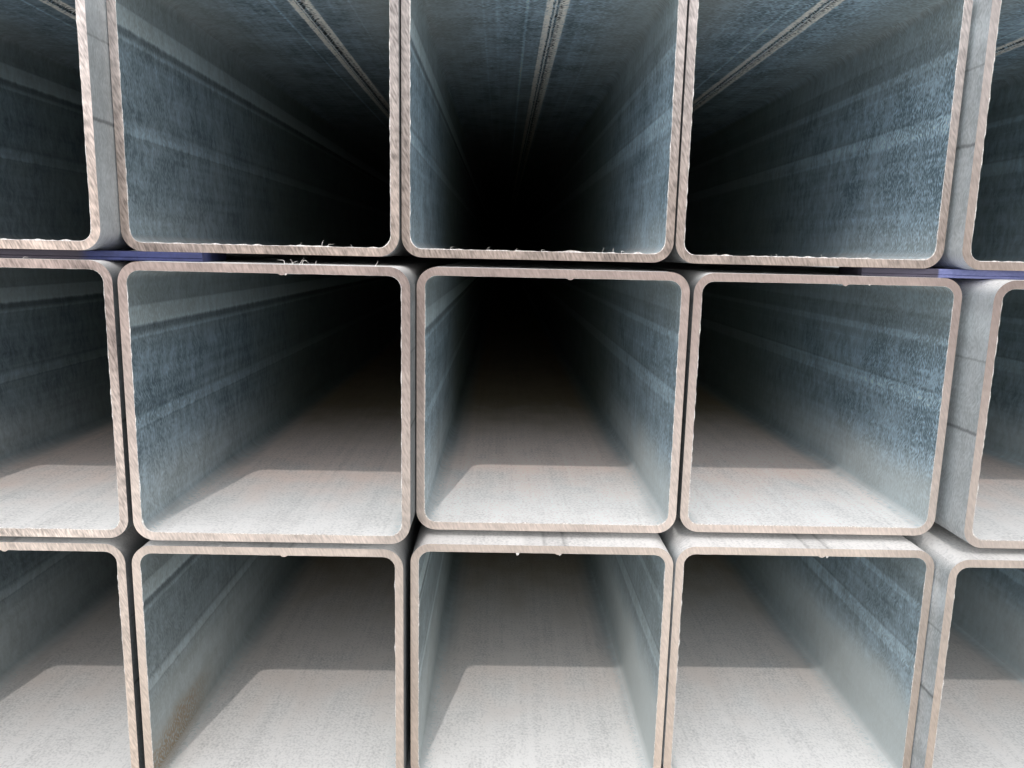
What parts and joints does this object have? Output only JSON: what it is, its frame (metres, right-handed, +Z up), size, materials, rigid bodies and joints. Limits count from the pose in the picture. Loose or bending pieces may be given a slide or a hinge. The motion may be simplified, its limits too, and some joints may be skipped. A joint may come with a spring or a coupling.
{
  "type": "stack of square steel tubes",
  "caption": "Rows of zinc-coated square steel tubes stacked with staggered sawn ends, kept apart by flat blue strips laid across between the rows.",
  "frame": {"origin": "middle of the underside of the stack's box", "axes": "+X to the right seen from the sawn ends, +Y along the tubes away from those ends, +Z up"},
  "size_m": [0.5132, 6.0206, 0.3066],
  "materials": {
    "galvanised_steel": "satin zinc coating",
    "blue_strip": "satin blue paint"
  },
  "bodies": {
    "root": {"strip_lower_gap_front_thick_ply": "blue_strip", "strip_lower_gap_front_thin_ply": "blue_strip", "strip_lower_gap_middle_thick_ply": "blue_strip", "strip_lower_gap_middle_thin_ply": "blue_strip", "strip_lower_gap_rear_thick_ply": "blue_strip", "strip_lower_gap_rear_thin_ply": "blue_strip", "strip_short_left_thick_ply": "blue_strip", "strip_short_left_thin_ply": "blue_strip", "strip_short_right_thick_ply": "blue_strip", "strip_short_right_thin_ply": "blue_strip", "strip_upper_gap_front_thick_ply": "blue_strip", "strip_upper_gap_front_thin_ply": "blue_strip", "strip_upper_gap_middle_thick_ply": "blue_strip", "strip_upper_gap_middle_thin_ply": "blue_strip", "strip_upper_gap_rear_thick_ply": "blue_strip", "strip_upper_gap_rear_thin_ply": "blue_strip", "tube_bottom_1": "galvanised_steel", "tube_bottom_2": "galvanised_steel", "tube_bottom_3": "galvanised_steel", "tube_bottom_4": "galvanised_steel", "tube_bottom_5": "galvanised_steel", "tube_middle_1": "galvanised_steel", "tube_middle_2": "galvanised_steel", "tube_middle_3": "galvanised_steel", "tube_middle_4": "galvanised_steel", "tube_middle_5": "galvanised_steel", "tube_top_1": "galvanised_steel", "tube_top_2": "galvanised_steel", "tube_top_3": "galvanised_steel", "tube_top_4": "galvanised_steel", "tube_top_5": "galvanised_steel"}
  },
  "joints": []
}
